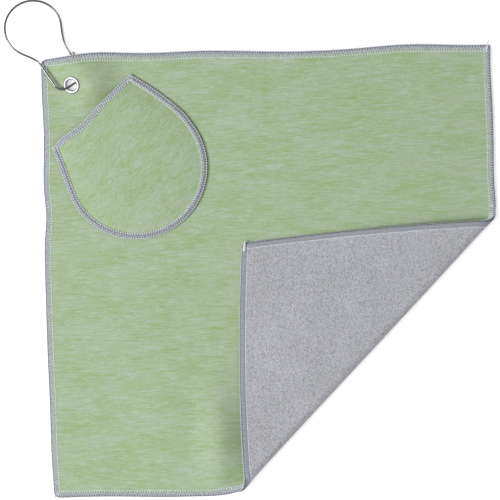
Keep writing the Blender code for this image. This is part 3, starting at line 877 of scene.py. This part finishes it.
def half_width(along, inset):
    """Half the pocket's width at a distance along it: a circle, and its tangents to the mouth's corners."""
    radius = BAG_RADIUS - inset
    far = np.array((MOUTH - BAG_CENTRE, MOUTH_HALF - inset))
    angle = math.atan2(far[1], far[0]) - math.acos(radius / np.linalg.norm(far))
    touch = np.array((math.cos(angle), math.sin(angle))) * radius
    offset = along - BAG_CENTRE
    circle = np.sqrt(np.maximum(radius * radius - offset * offset, 0))
    tangent = far[1] + (touch[1] - far[1]) * (offset - far[0]) / (touch[0] - far[0])
    return np.where(offset > touch[0], circle, tangent)


def pocket_drift(along, across):
    """How far the pocket leaves its pattern, towards the eyelet and sideways."""
    near_mouth = 1 - smooth_step(along, MOUTH, BAG_CENTRE)
    dip = MOUTH_DIP * np.exp(-(((across - DIP_PLACE) / DIP_REACH) ** 2))
    forward = (MOUTH_SKEW * across - dip) * near_mouth
    shoulder = np.sin(math.pi * np.clip((along - MOUTH) / (BAG_CENTRE - MOUTH), 0, 1))
    sideways = SHOULDER * shoulder * np.clip(across / MOUTH_HALF, 0, 1)
    return forward, sideways


def pocket_plan(along, across):
    """Points in plan, from their places on the pattern."""
    forward, sideways = pocket_drift(along, across)
    back = np.multiply.outer(along - forward, SLOPE_ALONG)
    return POCKET_ORIGIN - back + np.multiply.outer(across + sideways, SLOPE_ACROSS)


def pocket_place(plan):
    """The places on the pattern of points in plan, found by repeated correction."""
    offset = plan - POCKET_ORIGIN
    straight_along = -offset @ SLOPE_ALONG
    straight_across = offset @ SLOPE_ACROSS
    along = straight_along
    across = straight_across
    for _ in range(6):
        forward, sideways = pocket_drift(along, across)
        along = straight_along + forward
        across = straight_across - sideways
    return along, across


def pocket_rise(along, across):
    """How far the pocket's inside stands off the face."""
    width = np.maximum(half_width(along, HEM_WIDTH), MM)
    share = np.abs(across) / width
    below = np.hypot(along - BAG_CENTRE, across) / (BAG_RADIUS - HEM_WIDTH)
    share = np.clip(np.where(along > BAG_CENTRE, below, share), 0, 1)
    fall = 1 - POCKET_FALL * smooth_step(along, MOUTH, BAG_CENTRE + BAG_RADIUS)
    return POCKET_RISE * (1 - share**3) * fall


def pocket_base(plan):
    """Points on the underside of the pocket's lining."""
    along, across = pocket_place(plan)
    height = ground(plan) + POCKET_BASE + pocket_rise(along, across)
    return np.column_stack((plan, height))


def pocket_surface(plan, height):
    return offset_from(pocket_base, plan, height)


def pocket_grain(plan):
    """The pocket is cut with its courses along the mouth."""
    along, across = pocket_place(plan)
    return np.column_stack((across, along))


def pocket_grid():
    """Rows of points in plan across the pocket, closer together towards its outline."""
    end = BAG_CENTRE + BAG_RADIUS - INSET
    turns = np.sin(np.linspace(0, math.pi / 2 - 0.02, BAG_ROWS))
    rows = MOUTH + INSET + (end - MOUTH - INSET) * turns
    shares = np.sin(np.linspace(-math.pi / 2, math.pi / 2, BAG_COLUMNS + 1))
    grid = []
    for along in rows:
        across = half_width(along, INSET) * shares
        grid.append(pocket_plan(np.full(len(shares), along), across))
    return np.array(grid)


def bag_outline():
    """From one corner of the mouth, down that side, round the bag and up to the other corner."""
    straight = np.linspace(MOUTH, BAG_CENTRE, 40)[:-1]
    turns = np.linspace(0, math.pi, 120)
    side = half_width(straight, 0)
    along = np.concatenate((straight, BAG_CENTRE + BAG_RADIUS * np.sin(turns), straight[::-1]))
    across = np.concatenate((-side, -BAG_RADIUS * np.cos(turns), side[::-1]))
    return pocket_plan(along, across)


def mouth_outline():
    across = np.linspace(MOUTH_HALF, -MOUTH_HALF, MOUTH_POINTS)
    return pocket_plan(np.full(MOUTH_POINTS, MOUTH), across)


def pocket_edge(outline):
    return Edge(resampled(outline, EDGE_STEP), pocket_surface)


def pocket_ply(name, low, high, material):
    grid = pocket_grid()
    return ply(name, grid, low, high, pocket_surface, material, "towel", uv=pocket_grain)


def pocket_overlock(name, edge):
    return overlock(name, edge, POCKET_HEM_WIDTH, POCKET_HEM_LOW, POCKET_HEM, hem_yarns, "towel")


def stitched_line(name, edge, depth, height):
    """A line of lockstitches: each stitch lies on the cloth and dips in at its ends."""
    stitches = round(edge.length / SEAM_STITCH)
    fine = np.arange(stitches * SEAM_SAMPLES + 1) / SEAM_SAMPLES
    pulse = np.abs(np.sin(math.pi * fine)) ** 0.6
    place = fine * edge.length / fine[-1]
    dip = SEAM_THREAD * 1.6 * (1 - pulse)
    line = edge.points(place, np.full(len(fine), depth), height - dip)
    points, faces = strand(line, SEAM_THREAD)
    return piece(name, points, faces, points[:, :2], [seam_shade_yarn], "towel")


pocket_lining = pocket_ply("pocket_lining_cloth", 0, POCKET_LINING, terry)
pocket_panel = pocket_ply("pocket_panel_cloth", POCKET_LINING + PLY_GAP, POCKET_THICK, pocket_knit)
bag_edge = pocket_edge(bag_outline())
seam_height = POCKET_HEM + SEAM_RISE
pocket_hem = pocket_overlock("pocket_overlock", bag_edge)
mouth_hem = pocket_overlock("pocket_mouth_overlock", pocket_edge(mouth_outline()))
# The seam thread's dark colour is painted shade of the thin shadow line along the hem.
pocket_seam = stitched_line("pocket_seam_thread", bag_edge, POCKET_HEM_WIDTH / 2, seam_height)
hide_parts("pocket_lining")
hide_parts("pocket_panel")
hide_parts("pocket_hem")
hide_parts("pocket_mouth_hem")
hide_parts("pocket_seam")

# ---------------- the eyelet

# Radii of the bore and the flange, the flange's height, how far its lip stands off, and the sheet metal.
BORE = 3.9 * MM
RIM = 5.8 * MM
FLANGE = 0.75 * MM
LIP = 0.25 * MM
SHEET = 0.4 * MM
WASHER_GAP = 0.1 * MM
WASHER_BEVEL = 0.3 * MM
TURN_STEPS = 72
FLANGE_STEPS = 13


def turned(name, profile):
    """A solid of revolution about the eyelet's axis, from a closed (radius, height) profile."""
    normal = Vector((*(-SLOPE * SLOPE_ACROSS), 1)).normalized()
    centre = Vector(towel_middle(EYELET[None, :])[0])
    placement = Matrix.Translation(centre) @ normal.to_track_quat("Z", "Y").to_matrix().to_4x4()
    points = []
    for angle in np.linspace(0, 2 * math.pi, TURN_STEPS + 1):
        for radius, height in profile:
            place = Vector((radius * math.cos(angle), radius * math.sin(angle), height))
            points.append(placement @ place)
    faces = grid_faces(TURN_STEPS + 1, len(profile), around=True)
    points = np.array(points)
    return piece(name, points, faces, points[:, :2], [nickel], "towel")


def flange(base):
    """A rolled rim: from the bore, over the crown and down to its lip, just off the cloth."""
    profile = []
    for angle in np.linspace(0, math.pi, FLANGE_STEPS + 1):
        radius = BORE + (RIM - BORE) * (1 - math.cos(angle)) / 2
        profile.append((radius, base + FLANGE * math.sin(angle) ** 0.7))
    return profile


face_side = THICK / 2
back_side = -THICK / 2
barrel_profile = [
    (BORE, back_side - SHEET),
    *flange(face_side + LIP),
    (RIM - SHEET, face_side),
    (BORE + SHEET, face_side),
    (BORE + SHEET, back_side - SHEET),
]
washer_profile = [
    (BORE + SHEET + WASHER_GAP, back_side),
    (BORE + SHEET + WASHER_GAP, back_side - SHEET * 0.8),
    (RIM - WASHER_BEVEL, back_side - SHEET),
    (RIM, back_side - SHEET / 2),
    (RIM, back_side),
]
barrel = turned("eyelet_barrel_nickel", barrel_profile)
washer = turned("eyelet_washer_nickel", washer_profile)
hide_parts("eyelet_barrel")
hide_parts("eyelet_washer")

# ---------------- the hook

# The wire, and its route in the hook's plane: the bulb, the throats where it leaves the bulb's circle, the
# two legs, the latch on the far leg and the gate's end in it. The gate and the wire run on past each other
# a little at the bulb's top. The plane tilts, because the near leg lies over the cloth and the far under it.
WIRE = 0.75 * MM
WIRE_SIDES = 14
WIRE_STEP = 0.35 * MM
BULB_CENTRE = 45.7 * MM
BULB_RADIUS = 18.6 * MM
WIRE_THROAT = math.radians(120)
GATE_THROAT = math.radians(118)
NEAR_LEG = 9.8 * MM
NEAR_BEND = 6.5 * MM
LEG_TOP = 24 * MM
FAR_LEG = 8.3 * MM
BEND = 3.2 * MM
LATCH_FLOOR = 13.4 * MM
LATCH_OUT = 12.8 * MM
LATCH_TOP = 18 * MM
GATE_END = 15 * MM
GATE_OUT = 10.9 * MM
RUN_ON = 0.6 * MM
TILT_ACROSS = -0.17
TILT_ALONG = -0.0156


def hook_points(route):
    """Points in space of (along, across) places in the hook's plane."""
    along, across = np.array(route).T
    plan = EYELET + np.multiply.outer(along, HOOK_ALONG) + np.multiply.outer(across, HOOK_ACROSS)
    height = HOOK_PIVOT.z + TILT_ACROSS * across + TILT_ALONG * along
    return np.column_stack((plan, height))


def arc(centre, radius, start, end, count=24):
    """Places on a circle, from one angle to another."""
    angles = np.linspace(start, end, count + 1)
    return [(centre[0] + radius * math.cos(a), centre[1] + radius * math.sin(a)) for a in angles]


def bezier(points, count=24):
    """Places on a cubic curve, without its first."""
    t = np.linspace(0, 1, count + 1)[1:, None]
    a, b, c, d = (np.array(point) for point in points)
    curve = (1 - t) ** 3 * a + 3 * t * (1 - t) ** 2 * b + 3 * t * t * (1 - t) * c + t**3 * d
    return [tuple(place) for place in curve]


def wire(name, route, body):
    """Round wire along a route in the hook's plane, with both ends rounded off."""
    line = resampled(hook_points(route), WIRE_STEP)
    along = np.arange(len(line)) * WIRE_STEP
    ends = np.minimum(along, along[::-1])
    radius = WIRE * np.sqrt(np.clip(1 - (1 - np.clip(ends / WIRE, 0, 1)) ** 2, 0.02, 1))
    points, faces = strand(line, radius, WIRE_SIDES)
    return piece(name, points, faces, points[:, :2], [steel], body)


def wire_route():
    """From the latch on the far leg, round the eyelet's edge and up the near leg to the bulb's top."""
    quarter = math.pi / 2
    route = [(LATCH_TOP, LATCH_OUT)]
    route += arc((LATCH_FLOOR + BEND / 2, LATCH_OUT - BEND / 2), BEND / 2, quarter, 2 * quarter)
    route += [(LATCH_FLOOR - 0.4 * MM, FAR_LEG + 1.6 * MM), (LATCH_FLOOR - 1.6 * MM, FAR_LEG + 0.4 * MM)]
    route += [(LATCH_FLOOR - BEND, FAR_LEG)]
    route += arc((BEND, FAR_LEG - BEND), BEND, quarter, 2 * quarter)
    route += arc((NEAR_BEND, NEAR_BEND - NEAR_LEG), NEAR_BEND, 2 * quarter, 3 * quarter)
    bulb = arc((BULB_CENTRE, 0), BULB_RADIUS, -WIRE_THROAT, RUN_ON / BULB_RADIUS, 90)
    reach = 6 * MM
    start = (bulb[0][0] - math.sin(WIRE_THROAT) * reach, bulb[0][1] - math.cos(WIRE_THROAT) * reach)
    neck = bezier([(LEG_TOP, -NEAR_LEG), (LEG_TOP + 3.5 * MM, -NEAR_LEG), start, bulb[0]])
    return route + [(LEG_TOP, -NEAR_LEG)] + neck + bulb[1:]


def gate_route():
    """The springy side of the bulb, down to its end in the latch."""
    bulb = arc((BULB_CENTRE, 0), BULB_RADIUS, -RUN_ON / BULB_RADIUS, GATE_THROAT, 80)
    reach = 7 * MM
    start = (bulb[-1][0] - math.sin(GATE_THROAT) * reach, bulb[-1][1] + math.cos(GATE_THROAT) * reach)
    end = (GATE_END + 5 * MM, GATE_OUT)
    neck = bezier([bulb[-1], start, (end[0] + 6 * MM, end[1]), end])
    return bulb + neck + [(GATE_END, GATE_OUT)]


hook_wire = wire("hook_wire_round", wire_route(), "hook")
hook_gate = wire("hook_gate_round", gate_route(), "gate")
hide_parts("hook_wire")
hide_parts("hook_gate")

# ---------------- cut sizes


def cut_area(grid):
    """The area of a grid of flat points, from the crossed diagonals of its cells."""
    one = grid[1:, 1:] - grid[:-1, :-1]
    other = grid[1:, :-1] - grid[:-1, 1:]
    return float(np.abs(one[..., 0] * other[..., 1] - one[..., 1] * other[..., 0]).sum() / 2)


def declare_sheets(plies, grid, trim):
    """Works out the cut area of the grid, which is not kept. The plies and the trim are not used."""
    for one, others in zip(plies, (trim, ())):
        cut_area(grid)


# Flat sizes of the cloth inside its hems.
bag_grid = pocket_grain(pocket_grid().reshape(-1, 2)).reshape(BAG_ROWS, BAG_COLUMNS + 1, 2)
panel_trim = (panel_hem, thread_tail, thread_stub, barrel, washer)
fold_trim = (lower_hem, upper_hem)
flap_trim = (flap_hem, thread_knob)
pocket_trim = (pocket_hem, mouth_hem, pocket_seam)
declare_sheets((towel_face, towel_back), panel_grid(), panel_trim)
declare_sheets((fold_face, fold_back), roll_grid, fold_trim)
declare_sheets((flap_back, flap_face), flap_grid, flap_trim)
declare_sheets((pocket_panel, pocket_lining), bag_grid, pocket_trim)

# ---------------- camera, light and floor

# The camera looks straight down on VIEW_CENTRE and sees VIEW_WIDTH of the floor.
VIEW_CENTRE = Vector((-13.4 * MM, 15.3 * MM, 0))
VIEW_WIDTH = 333.3 * MM
VIEW_DISTANCE = 2.0
VIEW_ROLL = math.radians(-1.9)
SENSOR = 36

# One large lamp from the left, in white surroundings that are darkest at the horizon.
KEY_PLACE = (-1.4, -0.35, 1.75)
KEY_SIZE = 1.0
KEY_POWER = 46
SKY_STRENGTH = 0.72
HORIZON = (0.03, 0.03, 0.035)
OVERHEAD = 0.95
FLOOR_SIZE = 8
FLOOR_GLOW = 0.45


def make_camera():
    data = bpy.data.cameras.new("camera")
    data.sensor_width = SENSOR
    data.lens = data.sensor_width * VIEW_DISTANCE / VIEW_WIDTH
    data.clip_end = 20
    camera = bpy.data.objects.new("camera", data)
    camera.location = VIEW_CENTRE + Vector((0, 0, VIEW_DISTANCE))
    camera.rotation_euler = (0, 0, VIEW_ROLL)
    bpy.context.scene.collection.objects.link(camera)
    bpy.context.scene.camera = camera


def area_light(name, place, size, power):
    data = bpy.data.lights.new(name, "AREA")
    data.shape = "SQUARE"
    data.size = size
    data.energy = power
    light = bpy.data.objects.new(name, data)
    light.location = place
    light.rotation_euler = (Vector((0, 0, 0)) - Vector(place)).to_track_quat("-Z", "Y").to_euler()
    bpy.context.scene.collection.objects.link(light)


def make_world():
    """Soft white surroundings, brighter overhead than at the horizon."""
    world = bpy.data.worlds.new("studio")
    bpy.context.scene.world = world
    world.use_nodes = True
    tree = world.node_tree
    direction = tree.nodes.new("ShaderNodeTexCoord")
    split = tree.nodes.new("ShaderNodeSeparateXYZ")
    ramp = tree.nodes.new("ShaderNodeValToRGB")
    tree.links.new(direction.outputs["Generated"], split.inputs[0])
    tree.links.new(split.outputs["Z"], ramp.inputs["Fac"])
    low, high = ramp.color_ramp.elements
    low.position, low.color = 0.0, (*HORIZON, 1)
    high.position, high.color = OVERHEAD, (1, 1, 1, 1)
    background = tree.nodes["Background"]
    tree.links.new(ramp.outputs["Color"], background.inputs["Color"])
    background.inputs["Strength"].default_value = SKY_STRENGTH


def make_floor():
    look = Look("floor_white")
    grain = look.noise(look.place(0.5), 2)
    tone = look.ramp(grain, 0.3, 0.7, grey(0.90), grey(0.92))
    glow = {"Emission Color": (1, 1, 1, 1), "Emission Strength": FLOOR_GLOW}
    material = look.finish({"Base Color": tone, "Roughness": 0.9, **glow})
    bpy.ops.mesh.primitive_plane_add(size=FLOOR_SIZE, location=(0, 0, 0))
    floor = bpy.context.object
    floor.name = "floor"
    floor.data.materials.append(material)


make_camera()
make_world()
make_floor()
area_light("key", KEY_PLACE, KEY_SIZE, KEY_POWER)
bpy.context.scene.view_settings.view_transform = "Standard"
